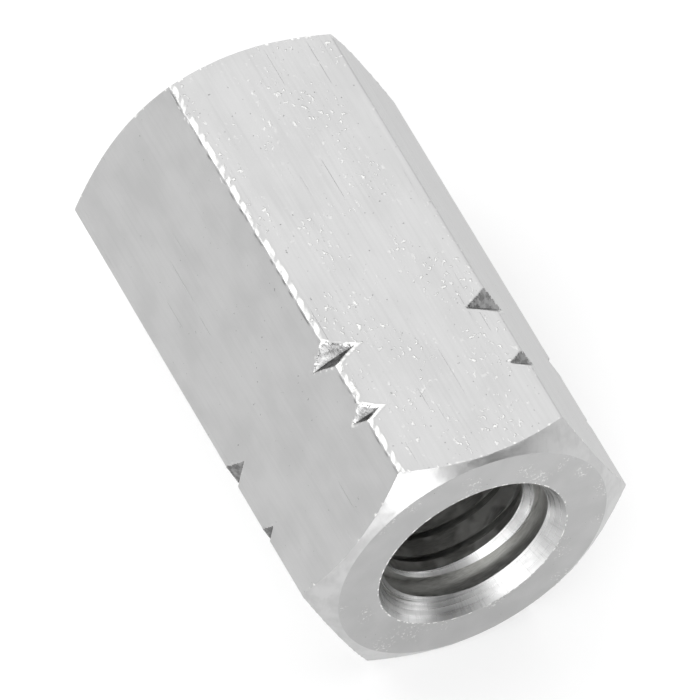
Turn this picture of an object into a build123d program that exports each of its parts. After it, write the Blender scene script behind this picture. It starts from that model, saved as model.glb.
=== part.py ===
# A long hexagonal coupling nut that joins two M10 rods end to end.
#
# It is one piece of drawn hexagon bar: cut to length, turned to a cone at both ends, nicked
# across its corners by two turned V grooves, drilled through and countersunk at both mouths.
# The nut lies on one flat, with its axis along Y and the grooved end towards -Y. The origin is
# on the ground under its middle.

import os
from math import radians, sqrt, tan

from build123d import *

# hexagon bar, in millimetres
ACROSS_FLATS = 17.0
LENGTH = 30.0
CORNER_RADIUS = 0.30  # the bar's drawn corners aren't sharp

# cone turned on both ends
END_FACE_DIAMETER = 16.0  # the flat ring that bears on a washer
CONE_ANGLE = 30.0  # between the cone and the end face, in degrees

# V grooves turned round the bar: only the six corners stand out far enough to be cut
GROOVE_ANGLE = 105.0  # between the two sides of a V
DEEP_GROOVE_DISTANCE = 9.5  # from the near end face to the bottom of the V
DEEP_GROOVE_DIAMETER = 18.14  # across the bottom of the V
SHALLOW_GROOVE_DISTANCE = 5.3
SHALLOW_GROOVE_DIAMETER = 18.60

# threaded hole, at the size it is drilled before tapping
THREAD_DIAMETER = 10.0
THREAD_PITCH = 1.5
DRILLED_DIAMETER = THREAD_DIAMETER - 1.0825 * THREAD_PITCH  # over the crests of the thread

# countersink at both mouths
COUNTERSINK_DIAMETER = 11.2
COUNTERSINK_ANGLE = 60.0

# turned profiles are cut this far past the sharp corners and the end faces
OVERCUT = 1.0
REACH = ACROSS_FLATS / sqrt(3) + OVERCUT

# planes and axis: the end planes face outwards, and the section has Y along and Z up
AXIS_HEIGHT = ACROSS_FLATS / 2
middle = Plane(origin=(0, 0, AXIS_HEIGHT), x_dir=(1, 0, 0), z_dir=(0, -1, 0))
near_end = middle.offset(LENGTH / 2)
far_end = Plane(origin=(0, LENGTH / 2, AXIS_HEIGHT), x_dir=(1, 0, 0), z_dir=(0, 1, 0))
section = Plane(origin=(0, 0, AXIS_HEIGHT), x_dir=(0, 1, 0), z_dir=(1, 0, 0))
thread_axis = Axis(section.origin, (0, 1, 0))


def v_groove(distance, diameter):
    """One V, drawn on the section: its bottom, then both sides run out past the corners."""
    along = distance - LENGTH / 2
    depth = REACH - diameter / 2
    half_width = depth * tan(radians(GROOVE_ANGLE / 2))
    Polygon(
        (along, diameter / 2),
        (along + half_width, REACH),
        (along - half_width, REACH),
        align=None,
    )


def end_cone(end):
    """What the lathe takes off one end, drawn on the section: end is -1 near and 1 far."""
    rise = (REACH - END_FACE_DIAMETER / 2) * tan(radians(CONE_ANGLE))
    Polygon(
        (end * LENGTH / 2, END_FACE_DIAMETER / 2),
        (end * (LENGTH / 2 - rise), REACH),
        (end * (LENGTH / 2 + OVERCUT), REACH),
        (end * (LENGTH / 2 + OVERCUT), END_FACE_DIAMETER / 2),
        align=None,
    )


os.makedirs("parts", exist_ok=True)

with BuildPart() as nut_body:
    with BuildSketch(middle):
        bar = RegularPolygon(radius=ACROSS_FLATS / 2, side_count=6, major_radius=False)
        fillet(bar.vertices(), CORNER_RADIUS)
    extrude(amount=LENGTH / 2, both=True)

    with BuildSketch(section):
        end_cone(-1)
        end_cone(1)
        v_groove(DEEP_GROOVE_DISTANCE, DEEP_GROOVE_DIAMETER)
        v_groove(SHALLOW_GROOVE_DISTANCE, SHALLOW_GROOVE_DIAMETER)
    revolve(axis=thread_axis, mode=Mode.SUBTRACT)

    with Locations(near_end, far_end):
        CounterSinkHole(
            radius=DRILLED_DIAMETER / 2,
            counter_sink_radius=COUNTERSINK_DIAMETER / 2,
            counter_sink_angle=COUNTERSINK_ANGLE,
        )

nut_body.part.label = "nut_body"
export_step(nut_body.part, "parts/nut_body.step")
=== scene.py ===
import math

import bpy
import numpy as np
from mathutils import Matrix, Vector, noise


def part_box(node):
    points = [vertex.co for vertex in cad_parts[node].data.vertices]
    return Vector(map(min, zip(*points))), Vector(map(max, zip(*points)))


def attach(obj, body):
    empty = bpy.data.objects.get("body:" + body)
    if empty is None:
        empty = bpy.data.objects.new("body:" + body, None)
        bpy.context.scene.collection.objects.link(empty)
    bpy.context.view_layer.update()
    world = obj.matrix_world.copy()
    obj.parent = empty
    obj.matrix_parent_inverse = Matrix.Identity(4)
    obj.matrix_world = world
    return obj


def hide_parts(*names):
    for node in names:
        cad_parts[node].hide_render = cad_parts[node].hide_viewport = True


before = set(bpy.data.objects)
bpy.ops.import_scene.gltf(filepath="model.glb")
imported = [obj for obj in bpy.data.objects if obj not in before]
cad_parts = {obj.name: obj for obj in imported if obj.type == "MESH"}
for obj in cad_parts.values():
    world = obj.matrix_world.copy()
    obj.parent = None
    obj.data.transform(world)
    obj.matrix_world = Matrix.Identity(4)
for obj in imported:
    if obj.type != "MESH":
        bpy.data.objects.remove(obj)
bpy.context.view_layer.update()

MM = 0.001
low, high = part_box("nut_body")
ACROSS_FLATS = (high.z - low.z) / MM
LENGTH = (high.y - low.y) / MM
AXIS_HEIGHT = ACROSS_FLATS / 2

# nut, in millimetres
LIP = 0.05  # how far the burrs stand above the flats, which lie that much inside their full size
CORNER_RADIUS = 0.24
END_FACE_DIAMETER = 16.0
CONE_ANGLE = math.radians(30)
GROOVE_ANGLE = math.radians(105)
GROOVES = ((9.5, 18.14), (5.3, 18.60))  # distance from the near end, and diameter at the bottom

# thread and its mouths
THREAD_DIAMETER = 10.0
THREAD_PITCH = 1.5
DRILLED_DIAMETER = THREAD_DIAMETER - 1.0825 * THREAD_PITCH
COUNTERSINK_DIAMETER = 11.2
COUNTERSINK_ANGLE = math.radians(60)
THREAD_START = math.radians(-25)  # how far the thread is turned about its axis

# camera
VIEW_AZIMUTH = math.radians(-33.46)
VIEW_ELEVATION = math.radians(52.18)
VIEW_ROLL = math.radians(9.04)
VIEW_DISTANCE = 850.9
VIEW_CENTRE = (-0.009, -0.159, AXIS_HEIGHT - 0.107)
LENS = 811.7


def linear(hex_colour):
    """An sRGB hex colour as linear RGBA."""
    channels = [int(hex_colour[i : i + 2], 16) / 255 for i in (1, 3, 5)]
    return [c / 12.92 if c <= 0.04045 else ((c + 0.055) / 1.055) ** 2.4 for c in channels] + [1.0]


def add(tree, kind, settings=None, inputs=None):
    """Adds one node. inputs maps a socket's name or number to a value or to another node's output."""
    node = tree.nodes.new(kind)
    for name, value in (settings or {}).items():
        setattr(node, name, value)
    for name, value in (inputs or {}).items():
        socket = node.inputs[name]
        if isinstance(value, bpy.types.NodeSocket):
            tree.links.new(value, socket)
        else:
            socket.default_value = value
    return node


# shape of the outside

FINE = 0.075  # spacing of the points where the burrs are
COARSE = 0.2
EDGE_STRIP = 0.6  # how far from a corner the burr along it is modelled
NICK_STRIP = 2.2  # the same beside the nicks
NICK_REACH = ((8.1, 10.9), (4.1, 6.5))  # stretches of the nut that hold a nick
END_BAND = 3.0  # stretch at each end whose rows follow the curved edge of the cone
END_ROWS = 26
NICKED_TO = 11.6  # the rows stand closer up to here, past the last nick
NICKED_ROW = 0.07  # spacing of the rows before and after it
PLAIN_ROW = 0.1
CONE_ROWS = 6
LAST_CONE_ROW = 0.94  # one more row close to the cone's edge keeps the shading there crisp
ARC_ROWS = 4  # rows of faces beside the edge of the end cone that hold its crumbs
GAP_SLOPE = 0.85  # metal standing below a groove's reach, for each millimetre away from its nick
# the corners, counted round from +X: how strong the beads are along each one, how much less deep
# its nicks are than the deepest ones, and how much metal is pushed up beside them
BEADS = (0.1, 0.0, 1.0, 0.0, 0.6, 0.2)
SHALLOWER = (0.15, 0.0, 0.0, 0.1, 0.05, 0.1)
PUSHED_UP = (0.4, 0.45, 1.0, 0.3, 0.9, 0.5)


def spread(start, end, step):
    """Evenly spaced values from start up to end, end left out."""
    count = max(1, round(abs(end - start) / step))
    return list(np.linspace(start, end, count, endpoint=False))


def section_points():
    """Points round the hexagon, their normals, and how far past the nearest corner each one is."""
    apothem = ACROSS_FLATS / 2 - LIP
    flat_half = (apothem - CORNER_RADIUS) * math.tan(math.radians(30))
    arc = math.radians(60) * CORNER_RADIUS
    places = (
        spread(-flat_half, -flat_half + NICK_STRIP, FINE)
        + spread(-flat_half + NICK_STRIP, flat_half - NICK_STRIP, COARSE)
        + spread(flat_half - NICK_STRIP, flat_half, FINE)
    )
    points, normals, past = [], [], []
    for side in range(6):
        facing = math.radians(30 + 60 * side)
        normal = np.array((math.cos(facing), math.sin(facing)))
        along = np.array((-normal[1], normal[0]))
        for place in places:
            points.append(apothem * normal + place * along)
            normals.append(normal)
            after, before = place + flat_half + arc / 2, place - flat_half - arc / 2
            past.append(after if after < -before else before)
        centre = (apothem - CORNER_RADIUS) * normal + flat_half * along
        for turn in range(0, 60, 10):
            angle = facing + math.radians(turn)
            out = np.array((math.cos(angle), math.sin(angle)))
            points.append(centre + CORNER_RADIUS * out)
            normals.append(out)
            past.append((math.radians(turn) - math.radians(30)) * CORNER_RADIUS)
    return np.array(points), np.array(normals), np.array(past)


def groove_radius(along):
    """How far out the metal may reach, at a distance along the nut from its near end."""
    slope = 1 / math.tan(GROOVE_ANGLE / 2)
    limits = [diameter / 2 + np.abs(along - distance) * slope for distance, diameter in GROOVES]
    return np.minimum.reduce(limits)


def lumps(x, y, z):
    """Smooth noise between about -1 and 1 for arrays of places."""
    flat = [noise.noise((a, b, c)) for a, b, c in zip(x.ravel(), y.ravel(), z.ravel())]
    return np.array(flat).reshape(x.shape)


def hump(values, middle, half):
    """A rounded hump from 0 to 1, which is 0 beyond half either side of the middle."""
    return np.sqrt(np.clip(1 - ((values - middle) / half) ** 2, 0, 1))


def burr_height(corner, past, along, gap, arc_gap):
    """How proud the burrs stand, from 0 to 1, and below 0 in the fold beside them.

    corner numbers the nearest corner, past is the distance round from it, gap is how far the
    place is outside the grooves, and arc_gap how far it is from the edge of the end cone.
    """
    # the drawn finish paints high values near white, a painted highlight, and values below 0 dark, a
    # painted shade
    shift = corner * 7.3
    level = np.zeros_like(along)
    # a chain of slanting beads along each corner, pushed over from the side the die wore last
    wander = 0.05 * lumps(along / 1.1, shift, level)
    bead = 0.5 + 0.9 * lumps((along + 1.3 * past) / 0.32, past / 0.5, shift)
    strength = np.array(BEADS)[corner.astype(int)] + 0.5 * lumps(along / 2.5, shift + 3, level)
    uncut = gap > 0
    chain = hump(past, -0.16 + wander, 0.2) * np.clip(bead * (strength + 0.1), 0, 1) * uncut
    # the metal that the groove tool pushed up on both sides of a nick
    torn = np.where(past < 0, 0.7, 0.35) + 0.9 * lumps(along / 0.25, past / 0.22, shift + 5)
    torn *= np.array(PUSHED_UP)[corner.astype(int)]
    nick = hump(gap, 0.08, 0.13) * np.clip(torn, 0, 1) * (np.abs(past) < NICK_STRIP)
    # small crumbs along the edge of the end cone
    crumbs = 1.8 * lumps(past / 0.2, shift + 9, along / 30) - 0.15
    rim = hump(arc_gap, 0.0, 0.14) * np.clip(crumbs, 0, 0.9)
    # the fold that is left beside the beads, which the drawn finish paints dark as a painted shade
    frayed = 0.5 + 0.9 * lumps(along / 0.5, shift + 12, level)
    fold = 0.6 * hump(past, 0.09 + wander, 0.07) * np.clip(strength * frayed, 0, 1) * uncut
    return np.clip(np.maximum.reduce([chain, nick, rim]), 0, 1) - fold


def outside():
    """The grid of points from the near bearing ring to the far one, with what goes with them.

    Gives the points in millimetres, how proud the burr stands at each, and which cells of the
    grid are modelled finely.
    """
    points, normals, past = section_points()
    radius = np.hypot(points[:, 0], points[:, 1])
    corner = np.round((np.degrees(np.arctan2(points[:, 1], points[:, 0])) % 360) / 60) % 6
    face_radius = END_FACE_DIAMETER / 2
    rise = (radius - face_radius) * math.tan(CONE_ANGLE)
    near_band, far_band = END_BAND, LENGTH - END_BAND
    shares = np.linspace(0, 1, END_ROWS + 1)[:-1]
    levels = [rise + (near_band - rise) * share for share in shares]
    stations = spread(near_band, NICKED_TO, NICKED_ROW) + spread(NICKED_TO, far_band, PLAIN_ROW)
    for station in stations + [far_band]:
        levels.append(np.full(len(points), station))
    levels += [far_band + (LENGTH - rise - far_band) * share for share in shares[1:]]
    levels.append(LENGTH - rise)
    along = np.array(levels)
    reach = np.broadcast_to(radius, along.shape)
    limit = groove_radius(along) + np.array(SHALLOWER)[corner.astype(int)]
    gap = (limit - reach) / GAP_SLOPE
    arc_gap = np.minimum(along - rise, LENGTH - rise - along)
    height = burr_height(
        np.broadcast_to(corner, along.shape), np.broadcast_to(past, along.shape), along, gap, arc_gap
    )
    kept = points[None, :, :] * np.minimum(1, limit / reach)[:, :, None]
    skin = kept + normals[None, :, :] * (height * LIP)[:, :, None]
    skin = np.stack([skin[:, :, 0], along, skin[:, :, 1]], axis=2)
    cones = []
    for end in (0, 1):
        edge = np.stack([points[:, 0], along[-end], points[:, 1]], axis=1)
        ring = points * (face_radius / radius)[:, None]
        inner = np.stack([ring[:, 0], np.full(len(points), LENGTH * end), ring[:, 1]], axis=1)
        steps = 1 - np.linspace(1, 0, CONE_ROWS, endpoint=False)
        steps = np.append(steps, LAST_CONE_ROW)
        cones.append([inner + (edge - inner) * share for share in steps])
    grid = np.concatenate([np.array(cones[0]), skin, np.array(cones[1])[::-1]])
    rows = len(cones[0])
    bare = np.zeros((rows, len(points)))
    proud = np.concatenate([bare, height, bare])
    keep = np.zeros((len(grid) - 1, len(points)), bool)
    keep[: rows + ARC_ROWS] = keep[-rows - ARC_ROWS :] = True
    middle = along.mean(axis=1)
    for row in range(ARC_ROWS, len(along) - 1 - ARC_ROWS):
        nicked = any(start < middle[row] < end for start, end in NICK_REACH)
        keep[rows + row] = np.abs(past) < (NICK_STRIP if nicked else EDGE_STRIP)
    return grid, proud, keep


def outlines(cells):
    """The loops of corners round each patch of grid cells, for cells given as (row, column, next)."""
    sides = set()
    for row, column, after in cells:
        ring = ((row, column), (row + 1, column), (row + 1, after), (row, after))
        for here, there in zip(ring, ring[1:] + ring[:1]):
            if (there, here) in sides:
                sides.remove((there, here))
            else:
                sides.add((here, there))
    following = dict(sorted(sides))
    loops = []
    while following:
        first, place = following.popitem()
        loop = [first]
        while place != first:
            loop.append(place)
            place = following.pop(place)
        loops.append(loop)
    return loops


def nut_blank():
    """The nut before it is drilled, as one closed mesh at its place in the frame."""
    grid, proud, keep = outside()
    rows, columns = grid.shape[:2]
    places = grid.reshape(-1, 3) + (0, -LENGTH / 2, AXIS_HEIGHT)
    faces = []
    plain = {}
    for row in range(rows - 1):
        for column in range(columns):
            after = (column + 1) % columns
            if keep[row, column] or keep[row, after]:
                start = row * columns
                faces.append(
                    (start + column, start + columns + column, start + columns + after, start + after)
                )
            else:
                plain.setdefault(column * 6 // columns, []).append((row, column, after))
    for cells in plain.values():
        for loop in outlines(cells):
            faces.append([row * columns + column for row, column in loop])
    faces.append(list(range(columns)))
    faces.append(list(range((rows - 1) * columns, rows * columns))[::-1])
    used = sorted({corner for face in faces for corner in face})
    number = {old: new for new, old in enumerate(used)}
    faces = [[number[corner] for corner in face] for face in faces]
    mesh = bpy.data.meshes.new("coupling_nut")
    mesh.from_pydata((places[used] * MM).tolist(), [], faces)
    mesh.attributes.new("burr", "FLOAT", "POINT").data.foreach_set("value", proud.ravel()[used])
    piece = bpy.data.objects.new("coupling_nut", mesh)
    bpy.context.scene.collection.objects.link(piece)
    return piece


# hole, cut by a tree of geometry nodes


def tapping_tree(finishes):
    """Cuts the drilled hole, the thread and both countersinks, and gives each surface its finish."""
    tree = bpy.data.node_groups.new("tapped_hole", "GeometryNodeTree")
    face = tree.interface
    face.new_socket("Geometry", in_out="INPUT", socket_type="NodeSocketGeometry")
    for name, value in (
        ("Thread radius", THREAD_DIAMETER / 2 * MM),
        ("Drilled radius", DRILLED_DIAMETER / 2 * MM),
        ("Countersink radius", COUNTERSINK_DIAMETER / 2 * MM),
        ("Pitch", THREAD_PITCH * MM),
        ("Length", LENGTH * MM),
        ("Axis height", AXIS_HEIGHT * MM),
    ):
        socket = face.new_socket(name, in_out="INPUT", socket_type="NodeSocketFloat")
        socket.default_value = value
    face.new_socket("Geometry", in_out="OUTPUT", socket_type="NodeSocketGeometry")
    given = add(tree, "NodeGroupInput").outputs

    def maths(operation, first, second=0.0, third=0.0):
        return add(
            tree, "ShaderNodeMath", {"operation": operation}, {0: first, 1: second, 2: third}
        ).outputs[0]

    def moved(geometry, height, rotation=(0, 0, 0)):
        offset = add(tree, "ShaderNodeCombineXYZ", None, {"Z": height}).outputs[0]
        inputs = {"Geometry": geometry, "Translation": offset, "Rotation": rotation}
        return add(tree, "GeometryNodeTransform", None, inputs).outputs[0]

    # the ridge of the tap, from inside the drilled wall out to the thread's full radius
    overlap = 0.2 * MM
    flank = 2 * math.tan(math.radians(30))
    base = maths("SUBTRACT", given["Drilled radius"], overlap)
    height = maths("SUBTRACT", given["Thread radius"], base)
    root = maths("DIVIDE", given["Pitch"], 8.0)
    foot = maths("MULTIPLY_ADD", height, flank, root)
    ridge = add(
        tree,
        "GeometryNodeCurvePrimitiveQuadrilateral",
        {"mode": "TRAPEZOID"},
        {"Height": height, "Bottom Width": foot, "Top Width": root, "Offset": 0.0},
    ).outputs[0]
    middle = maths("MULTIPLY_ADD", height, 0.5, base)
    turns = maths("ADD", maths("DIVIDE", given["Length"], given["Pitch"]), 2.0)
    rise = maths("MULTIPLY", turns, given["Pitch"])
    spiral = add(
        tree,
        "GeometryNodeCurveSpiral",
        None,
        {
            "Resolution": 96,
            "Rotations": turns,
            "Start Radius": middle,
            "End Radius": middle,
            "Height": rise,
            "Reverse": True,  # right-handed: without this the spiral is left-handed
        },
    ).outputs[0]
    upright = add(tree, "GeometryNodeSetCurveNormal", {"mode": "Z_UP"}, {"Curve": spiral})
    tap = add(
        tree,
        "GeometryNodeCurveToMesh",
        None,
        {
            "Curve": upright.outputs[0],
            "Profile Curve": moved(ridge, 0.0, (0, 0, math.radians(90))),
            "Fill Caps": True,
        },
    ).outputs[0]
    drill = add(
        tree,
        "GeometryNodeMeshCylinder",
        None,
        {
            "Vertices": 192,
            "Radius": given["Drilled radius"],
            "Depth": maths("ADD", given["Length"], 4 * MM),
        },
    ).outputs["Mesh"]
    # each countersink is a cone that reaches past the end face and stops inside the drilled hole
    past = 1 * MM
    widening = math.tan(COUNTERSINK_ANGLE / 2)
    mouth = maths("ADD", given["Countersink radius"], past * widening)
    tip = maths("SUBTRACT", given["Drilled radius"], 0.5 * MM)
    depth = maths("DIVIDE", maths("SUBTRACT", mouth, tip), widening)
    reach = maths("MULTIPLY_ADD", given["Length"], 0.5, past)
    near_cone, far_cone = [
        add(
            tree,
            "GeometryNodeMeshCone",
            None,
            {"Vertices": 192, "Radius Top": top, "Radius Bottom": bottom, "Depth": depth},
        ).outputs["Mesh"]
        for top, bottom in ((mouth, tip), (tip, mouth))
    ]
    cutters = add(
        tree,
        "GeometryNodeMeshBoolean",
        {"operation": "UNION", "solver": "EXACT"},
        {"Self Intersection": True},
    )
    for cutter in (
        moved(tap, maths("MULTIPLY", rise, -0.5), (0, 0, THREAD_START)),
        drill,
        moved(near_cone, maths("SUBTRACT", reach, depth)),
        moved(far_cone, maths("MULTIPLY", reach, -1.0)),
    ):
        tree.links.new(cutter, cutters.inputs["Mesh 2"])
    laid = moved(cutters.outputs[0], given["Axis height"], (math.radians(90), 0, 0))
    cut = add(
        tree,
        "GeometryNodeMeshBoolean",
        {"operation": "DIFFERENCE", "solver": "EXACT"},
        {"Mesh 1": given["Geometry"], "Mesh 2": laid},
    )
    realized = add(tree, "GeometryNodeRealizeInstances", None, {0: cut.outputs[0]}).outputs[0]
    # the cutters cross in slivers thinner than this, which would leave the seams open
    geometry = add(
        tree, "GeometryNodeMergeByDistance", None, {"Geometry": realized, "Distance": 0.004 * MM}
    ).outputs[0]

    # surfaces are told apart by their slope along the axis and their distance from it
    position = add(tree, "GeometryNodeInputPosition").outputs[0]
    normal = add(tree, "GeometryNodeInputNormal").outputs[0]
    place = add(tree, "ShaderNodeSeparateXYZ", None, {0: position})
    facing = add(tree, "ShaderNodeSeparateXYZ", None, {0: normal})
    slope = maths("ABSOLUTE", facing.outputs["Y"])
    up = maths("SUBTRACT", place.outputs["Z"], given["Axis height"])
    squared = maths("MULTIPLY_ADD", up, up, maths("MULTIPLY", place.outputs["X"], place.outputs["X"]))
    outward = maths("SQRT", squared)
    inside = maths("LESS_THAN", outward, maths("ADD", given["Countersink radius"], 0.1 * MM))
    end_face = maths("GREATER_THAN", slope, 0.999)
    end_cone = maths(
        "MULTIPLY",
        maths("COMPARE", slope, math.cos(CONE_ANGLE), 0.03),
        maths("SUBTRACT", 1.0, inside),
    )
    hole = maths("MULTIPLY", inside, maths("SUBTRACT", 1.0, end_face))
    mouth_cone = maths("MULTIPLY", hole, maths("COMPARE", slope, math.sin(COUNTERSINK_ANGLE / 2), 0.02))
    groove_wall = maths(
        "MULTIPLY",
        maths("COMPARE", slope, math.cos(GROOVE_ANGLE / 2), 0.05),
        maths("GREATER_THAN", outward, 8.6 * MM),
    )
    for name, selection in (
        ("drawn", True),
        ("nicked", groove_wall),
        ("faced", end_face),
        ("turned", end_cone),
        ("tapped", hole),
        ("countersunk", mouth_cone),
    ):
        geometry = add(
            tree,
            "GeometryNodeSetMaterial",
            None,
            {"Geometry": geometry, "Selection": selection, "Material": finishes[name]},
        ).outputs[0]
    result = add(tree, "NodeGroupOutput")
    tree.links.new(geometry, result.inputs[0])
    return tree


def tapped(piece, finishes):
    """Cuts the piece's hole and leaves it a plain mesh with no modifier."""
    piece.data.materials.append(finishes["drawn"])
    modifier = piece.modifiers.new("tapped_hole", "NODES")
    modifier.node_group = tapping_tree(finishes)
    evaluated = piece.evaluated_get(bpy.context.evaluated_depsgraph_get())
    mesh = bpy.data.meshes.new_from_object(evaluated)
    piece.modifiers.remove(modifier)
    piece.data = mesh
    mesh.shade_smooth()
    # less than the 30 degrees at which the root of the thread runs out into the countersink
    mesh.set_sharp_from_angle(angle=math.radians(28))


# finishes


class Finish:
    """A metal surface whose pattern is placed in millimetres from the middle of the hole's axis."""

    def __init__(self, name):
        self.material = bpy.data.materials.new(name)
        self.material.use_nodes = True
        self.tree = self.material.node_tree
        self.shader = self.tree.nodes["Principled BSDF"]
        self.shader.inputs["Metallic"].default_value = 1.0
        coordinates = self.node("ShaderNodeTexCoord").outputs["Object"]
        self.place = self.node(
            "ShaderNodeMapping",
            None,
            {"Vector": coordinates, "Location": (0, 0, -AXIS_HEIGHT), "Scale": (1 / MM,) * 3},
        ).outputs[0]

    def node(self, kind, settings=None, inputs=None):
        return add(self.tree, kind, settings, inputs)

    def maths(self, operation, first, second=0.0, third=0.0):
        return self.node(
            "ShaderNodeMath", {"operation": operation}, {0: first, 1: second, 2: third}
        ).outputs[0]

    def grain(self, size, detail=2.0, shift=0.0):
        """Noise whose features have the given size in millimetres along X, Y and Z."""
        scaled = self.node(
            "ShaderNodeMapping",
            None,
            {
                "Vector": self.place,
                "Location": (shift, shift, shift),
                "Scale": tuple(1 / side for side in size),
            },
        )
        return self.node(
            "ShaderNodeTexNoise", None, {"Vector": scaled.outputs[0], "Scale": 1.0, "Detail": detail}
        ).outputs[0]

    def step(self, value, start, end, low=0.0, high=1.0):
        """Turns a value smoothly from low to high while it goes from start to end."""
        return self.node(
            "ShaderNodeMapRange",
            {"interpolation_type": "SMOOTHSTEP"},
            {"Value": value, "From Min": start, "From Max": end, "To Min": low, "To Max": high},
        ).outputs[0]

    def outward(self):
        """Distance from the hole's axis, in millimetres."""
        flat = self.node(
            "ShaderNodeVectorMath", {"operation": "MULTIPLY"}, {0: self.place, 1: (1, 0, 1)}
        ).outputs[0]
        return self.node("ShaderNodeVectorMath", {"operation": "LENGTH"}, {0: flat}).outputs["Value"]

    def mixed(self, share, first, second):
        """A colour between two, of which one may be the result of an earlier mix."""
        mix = self.node("ShaderNodeMix", {"data_type": "RGBA"}, {"Factor": share})
        for socket, colour in ((mix.inputs[6], first), (mix.inputs[7], second)):
            if isinstance(colour, str):
                socket.default_value = linear(colour)
            else:
                self.tree.links.new(colour, socket)
        return mix.outputs[2]

    def finish(self, colour, roughness, *reliefs):
        """Joins the colour, the roughness and each (height, millimetres) relief to the shader."""
        self.tree.links.new(colour, self.shader.inputs["Base Color"])
        self.tree.links.new(roughness, self.shader.inputs["Roughness"])
        normal = None
        for height, distance in reliefs:
            bump = self.node("ShaderNodeBump", None, {"Height": height, "Distance": distance * MM})
            if normal:
                self.tree.links.new(normal, bump.inputs["Normal"])
            normal = bump.outputs[0]
        self.tree.links.new(normal, self.shader.inputs["Normal"])
        return self.material


def drawn_zinc_plate():
    """Cold drawn hexagon bar with clear zinc plate: a pale satin grey with faint die lines.

    The die leaves fine lines along the bar and torn specks where the scale was rolled in. The
    specks are painted near white, a painted highlight, and the pits and scratches darker, a painted
    shade. The corners and burrs are painted near white, a painted highlight, and the fold beside
    the beads dark, a painted shade.
    """
    steel = Finish("drawn_zinc_plate")
    lines = steel.grain((0.16, 7.0, 0.16), 3.0)
    cloud = steel.grain((1.8, 3.2, 1.8), 3.0, 4.0)
    burr_highlight_and_fold_shade = steel.node("ShaderNodeAttribute", {"attribute_name": "burr"}).outputs["Fac"]
    # torn specks stand in clusters, nearly all of them on the flat that is uppermost; their near-white
    # colour is a painted highlight
    height = steel.node("ShaderNodeSeparateXYZ", None, {0: steel.place}).outputs["Z"]
    off_top_flat = steel.step(height, 8.1, 8.4, 0.3, 0.0)
    patches = steel.grain((2.4, 3.4, 2.4), 2.0, 9.0)
    cluster = steel.step(steel.maths("SUBTRACT", patches, off_top_flat), 0.42, 0.6)
    speck = steel.step(steel.grain((0.24, 0.36, 0.24), 2.0, 2.0), 0.59, 0.72)
    torn = steel.maths("MULTIPLY", speck, cluster)
    pit_and_shade = steel.step(steel.grain((0.2, 0.2, 0.2), 1.0, 6.0), 0.25, 0.2)
    scratch = steel.step(steel.grain((0.07, 9.0, 0.07), 1.0, 12.0), 0.76, 0.80)
    colour = steel.mixed(steel.step(cloud, 0.3, 0.7), "#b5b5b5", "#bdbdbd")
    colour = steel.mixed(steel.step(lines, 0.45, 0.8, 0.0, 0.2), colour, "#afafaf")
    # painted highlight: the torn specks are painted near white
    colour = steel.mixed(steel.maths("MULTIPLY", torn, 0.55), colour, "#f0f0ee")
    # painted shade: pits and scratches are painted darker, as shade in their hollows
    dent_and_shade = steel.maths("MAXIMUM", pit_and_shade, scratch)
    colour = steel.mixed(steel.maths("MULTIPLY", dent_and_shade, 0.6), colour, "#757675")
    # painted highlight: beads, pushed-up metal and crumbs are painted near white
    colour = steel.mixed(steel.step(burr_highlight_and_fold_shade, 0.2, 0.8, 0.0, 0.9), colour, "#f2f2f0")
    # painted shade: the fold beside the beads is painted dark
    colour = steel.mixed(steel.step(burr_highlight_and_fold_shade, -0.1, -0.6, 0.0, 0.7), colour, "#5c5d5c")
    roughness = steel.step(steel.maths("ADD", lines, cloud), 0.7, 1.3, 0.36, 0.46)
    return steel.finish(
        colour,
        roughness,
        (lines, 0.0006),
        (cloud, 0.012),
        (torn, 0.028),
        (dent_and_shade, -0.012),
    )


def turned_zinc_plate():
    """Turned cone with clear zinc plate: brighter than the drawn flats, with fine tool rings."""
    steel = Finish("turned_zinc_plate")
    rings = steel.node(
        "ShaderNodeTexNoise",
        {"noise_dimensions": "1D"},
        {"W": steel.outward(), "Scale": 9.0, "Detail": 2.0},
    ).outputs[0]
    cloud = steel.grain((0.9, 0.9, 0.9), 3.0)
    streak = steel.step(steel.grain((0.3, 1.2, 1.2), 2.0, 3.0), 0.52, 0.66)
    colour = steel.mixed(steel.step(cloud, 0.35, 0.65), "#b8b8b8", "#c2c2c2")
    colour = steel.mixed(steel.maths("MULTIPLY", streak, 0.2), colour, "#a6a6a6")
    roughness = steel.step(cloud, 0.3, 0.7, 0.28, 0.34)
    return steel.finish(colour, roughness, (rings, 0.002), (cloud, 0.012))


def nicked_zinc_plate():
    """Wall of a turned nick: a torn cut, painted darker than the cones, a painted shade for the inside
    of the groove.
    """
    steel = Finish("nicked_zinc_plate")
    lines = steel.grain((0.1, 0.6, 0.1), 2.0)
    cloud = steel.grain((0.35, 0.35, 0.35), 3.0, 8.0)
    # painted shade: the groove's wall is painted darker than the cones, with darker lines
    colour = steel.mixed(steel.step(cloud, 0.35, 0.65), "#6a6a6a", "#909090")
    colour = steel.mixed(steel.step(lines, 0.55, 0.75, 0.0, 0.5), colour, "#505050")
    roughness = steel.step(cloud, 0.3, 0.7, 0.24, 0.34)
    return steel.finish(colour, roughness, (lines, 0.01), (cloud, 0.03))


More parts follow.
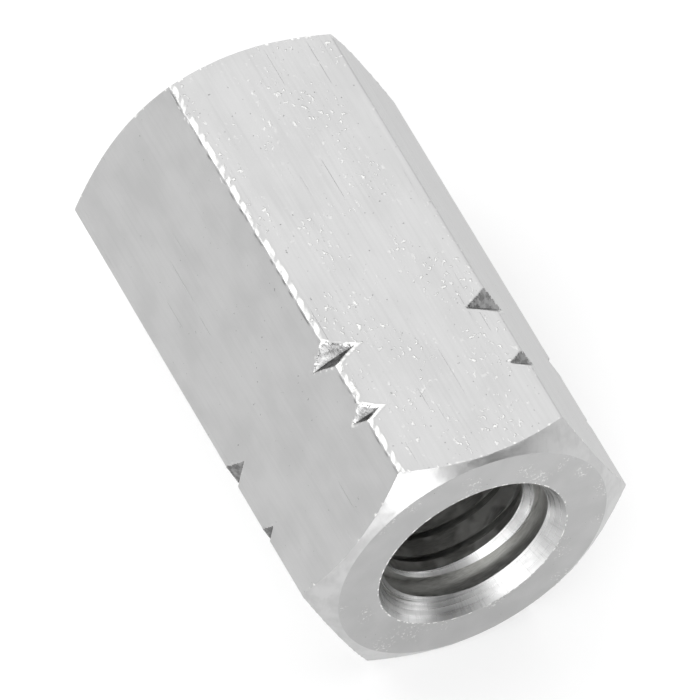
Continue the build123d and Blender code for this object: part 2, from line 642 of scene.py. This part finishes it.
def faced_zinc_plate():
    """Parted-off end face with clear zinc plate: an even satin grey with pits painted darker as painted
    shade, and specks and a ragged rim painted near white as painted highlights.
    """
    steel = Finish("faced_zinc_plate")
    outward = steel.outward()
    rings = steel.node(
        "ShaderNodeTexNoise",
        {"noise_dimensions": "1D"},
        {"W": outward, "Scale": 7.0, "Detail": 2.0},
    ).outputs[0]
    cloud = steel.grain((1.6, 1.6, 1.6), 3.0)
    cluster = steel.step(steel.grain((2.2, 2.2, 2.2), 1.0, 15.0), 0.54, 0.66)
    speck = steel.step(steel.grain((0.13, 0.13, 0.13), 1.0, 2.0), 0.6, 0.7)
    torn = steel.maths("MULTIPLY", speck, cluster)
    pit_and_shade = steel.step(steel.grain((0.2, 0.2, 0.2), 1.0, 6.0), 0.26, 0.21)
    edge = steel.step(outward, COUNTERSINK_DIAMETER / 2 + 0.1, COUNTERSINK_DIAMETER / 2 + 0.04)
    ragged = steel.step(steel.grain((0.3, 0.3, 0.3), 2.0, 5.0), 0.48, 0.6)
    rim = steel.maths("MULTIPLY", edge, ragged)
    colour = steel.mixed(steel.step(cloud, 0.3, 0.7), "#b0b0b0", "#b8b8b8")
    # painted highlight: the torn specks are painted near white
    colour = steel.mixed(steel.maths("MULTIPLY", torn, 0.5), colour, "#ededeb")
    # painted shade: the pits are painted darker
    colour = steel.mixed(steel.maths("MULTIPLY", pit_and_shade, 0.7), colour, "#6b6c6b")
    # painted highlight: the ragged rim at the countersink is painted near white
    colour = steel.mixed(rim, colour, "#f4f4f2")
    roughness = steel.step(cloud, 0.3, 0.7, 0.36, 0.44)
    return steel.finish(
        colour, roughness, (rings, 0.0012), (cloud, 0.008), (torn, 0.014), (pit_and_shade, -0.014), (rim, 0.02)
    )


def countersunk_zinc_plate():
    """Countersunk mouth with clear zinc plate: bright and ringed by the tool, with dark radial streaks
    painted in, a painted reflection standing in for the streaked shine of a turned surface.
    """
    steel = Finish("countersunk_zinc_plate")
    outward = steel.outward()
    rings = steel.node(
        "ShaderNodeTexNoise",
        {"noise_dimensions": "1D"},
        {"W": outward, "Scale": 8.0, "Detail": 3.0},
    ).outputs[0]
    parts = steel.node("ShaderNodeSeparateXYZ", None, {0: steel.place})
    turn = steel.maths("ARCTAN2", parts.outputs["X"], parts.outputs["Z"])
    # painted reflection: dark radial streaks stand in for the streaked shine of the turned rings
    radial_streak_noise = steel.node(
        "ShaderNodeTexNoise",
        {"noise_dimensions": "2D"},
        {
            "Vector": steel.node(
                "ShaderNodeCombineXYZ", None, {"X": steel.maths("MULTIPLY", turn, 45.0), "Y": outward}
            ).outputs[0],
            "Scale": 1.0,
            "Detail": 3.0,
        },
    ).outputs[0]
    painted_streak_and_groove = steel.step(radial_streak_noise, 0.58, 0.76)
    cloud = steel.grain((0.8, 0.8, 0.8), 3.0)
    colour = steel.mixed(steel.step(cloud, 0.35, 0.65), "#bcbcbc", "#c7c7c7")
    # the radial streaks are painted darker, a painted reflection
    colour = steel.mixed(steel.maths("MULTIPLY", painted_streak_and_groove, 0.3), colour, "#8f908f")
    roughness = steel.step(rings, 0.3, 0.7, 0.26, 0.38)
    return steel.finish(colour, roughness, (rings, 0.006), (cloud, 0.01), (painted_streak_and_groove, -0.002))


def cut_steel_thread():
    """Tapped thread, where the plate is thin: a slightly warm grey, with patches of the crests painted
    brighter, a painted highlight.
    """
    steel = Finish("cut_steel_thread")
    outward = steel.outward()
    crest = steel.step(outward, DRILLED_DIAMETER / 2 + 0.12, DRILLED_DIAMETER / 2 + 0.02)
    lines = steel.grain((0.5, 0.07, 0.5), 3.0)
    crest_sheen_patches = steel.step(steel.grain((1.5, 1.5, 1.5), 2.0, 7.0), 0.42, 0.6)
    colour = steel.mixed(steel.step(lines, 0.35, 0.65), "#a9a9a7", "#bbbbb9")
    # painted highlight: patches of the crests are painted brighter
    colour = steel.mixed(steel.maths("MULTIPLY", crest, crest_sheen_patches), colour, "#dededc")
    roughness = steel.step(lines, 0.3, 0.7, 0.32, 0.46)
    return steel.finish(colour, roughness, (lines, 0.004))


# view and light


def camera():
    """The camera at the photograph's viewing angle."""
    data = bpy.data.cameras.new("camera")
    data.lens = LENS
    data.clip_start, data.clip_end = 0.05, 5.0
    seen = bpy.data.objects.new("camera", data)
    bpy.context.scene.collection.objects.link(seen)
    level = math.cos(VIEW_ELEVATION)
    back = Vector(
        (
            math.sin(VIEW_AZIMUTH) * level,
            -math.cos(VIEW_AZIMUTH) * level,
            math.sin(VIEW_ELEVATION),
        )
    )
    turn = back.to_track_quat("Z", "Y").to_matrix() @ Matrix.Rotation(VIEW_ROLL, 3, "Z")
    place = (Vector(VIEW_CENTRE) + back * VIEW_DISTANCE) * MM
    seen.matrix_world = Matrix.Translation(place) @ turn.to_4x4()
    bpy.context.scene.camera = seen


def softbox(name, direction, distance, width, brightness):
    """A round lamp whose face is as bright as brightness times a white sheet."""
    data = bpy.data.lights.new(name, "AREA")
    data.shape = "DISK"
    data.size = width
    data.energy = brightness * math.pi * math.pi * width**2 / 4
    lamp = bpy.data.objects.new(name, data)
    bpy.context.scene.collection.objects.link(lamp)
    away = Vector(direction).normalized()
    turn = away.to_track_quat("Z", "Y").to_matrix().to_4x4()
    lamp.matrix_world = Matrix.Translation(away * distance) @ turn


# light tent: how bright its cloth is all round, and where it is brighter or darker
TENT = 0.92
TENT_PATCHES = (
    # direction, width in degrees, added brightness
    ((0.34, 0.51, 0.79), 50, 0.65),
    ((-0.56, -0.50, 0.66), 22, 1.7),
    ((-0.42, -0.90, 0.10), 34, 6.5),
    ((-0.90, -0.42, 0.05), 35, 0.8),
    ((0.34, -0.88, 0.30), 54, -0.9),
    ((0.50, -0.42, 0.76), 32, -0.3),
    ((0.95, -0.28, 0.15), 26, 0.7),
)


def tent():
    """The cloth of a light tent, as the world."""
    world = bpy.data.worlds.new("tent")
    world.use_nodes = True
    tree = world.node_tree
    towards = add(tree, "ShaderNodeTexCoord").outputs["Generated"]
    total = TENT
    for direction, width, added in TENT_PATCHES:
        near = add(
            tree,
            "ShaderNodeVectorMath",
            {"operation": "DOT_PRODUCT"},
            {0: towards, 1: Vector(direction).normalized()},
        ).outputs["Value"]
        patch = add(
            tree,
            "ShaderNodeMapRange",
            {"interpolation_type": "SMOOTHSTEP"},
            {"Value": near, "From Min": math.cos(math.radians(width)), "From Max": 1.0, "To Max": added},
        ).outputs[0]
        total = add(tree, "ShaderNodeMath", {"operation": "ADD"}, {0: total, 1: patch}).outputs[0]
    tree.links.new(total, tree.nodes["Background"].inputs["Strength"])
    tree.nodes["Background"].inputs["Color"].default_value = (1, 1, 1, 1)
    bpy.context.scene.world = world


def floor():
    """White paper that glows a little, so that the camera and the metal see it white."""
    mesh = bpy.data.meshes.new("floor")
    half = 1.5
    mesh.from_pydata(
        [(-half, -half, 0), (half, -half, 0), (half, half, 0), (-half, half, 0)], [], [(0, 1, 2, 3)]
    )
    sheet = bpy.data.objects.new("floor", mesh)
    bpy.context.scene.collection.objects.link(sheet)
    paper = bpy.data.materials.new("white_paper")
    paper.use_nodes = True
    tree = paper.node_tree
    shader = tree.nodes["Principled BSDF"]
    shader.inputs["Base Color"].default_value = linear("#fafafa")
    shader.inputs["Roughness"].default_value = 0.9
    shader.inputs["Specular IOR Level"].default_value = 0.0
    rays = add(tree, "ShaderNodeLightPath").outputs
    seen = rays["Is Camera Ray"]
    for kind in ("Is Glossy Ray", "Is Transmission Ray"):
        seen = add(tree, "ShaderNodeMath", {"operation": "MAXIMUM"}, {0: seen, 1: rays[kind]}).outputs[0]
    share = add(tree, "ShaderNodeMath", {"operation": "MULTIPLY"}, {0: seen, 1: 0.5}).outputs[0]
    glow = add(tree, "ShaderNodeEmission", None, {"Strength": 1.0}).outputs[0]
    mix = add(tree, "ShaderNodeMixShader", None, {0: share, 1: shader.outputs[0], 2: glow})
    tree.links.new(mix.outputs[0], tree.nodes["Material Output"].inputs["Surface"])
    mesh.materials.append(paper)


nut = nut_blank()
tapped(
    nut,
    {
        "drawn": drawn_zinc_plate(),
        "turned": turned_zinc_plate(),
        "nicked": nicked_zinc_plate(),
        "faced": faced_zinc_plate(),
        "countersunk": countersunk_zinc_plate(),
        "tapped": cut_steel_thread(),
    },
)
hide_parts("nut_body")
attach(nut, "root")

camera()
bpy.context.scene.view_settings.view_transform = "Standard"
softbox("back_left", (-0.5, 0.45, 0.74), 0.6, 0.4, 2.0)
tent()
floor()
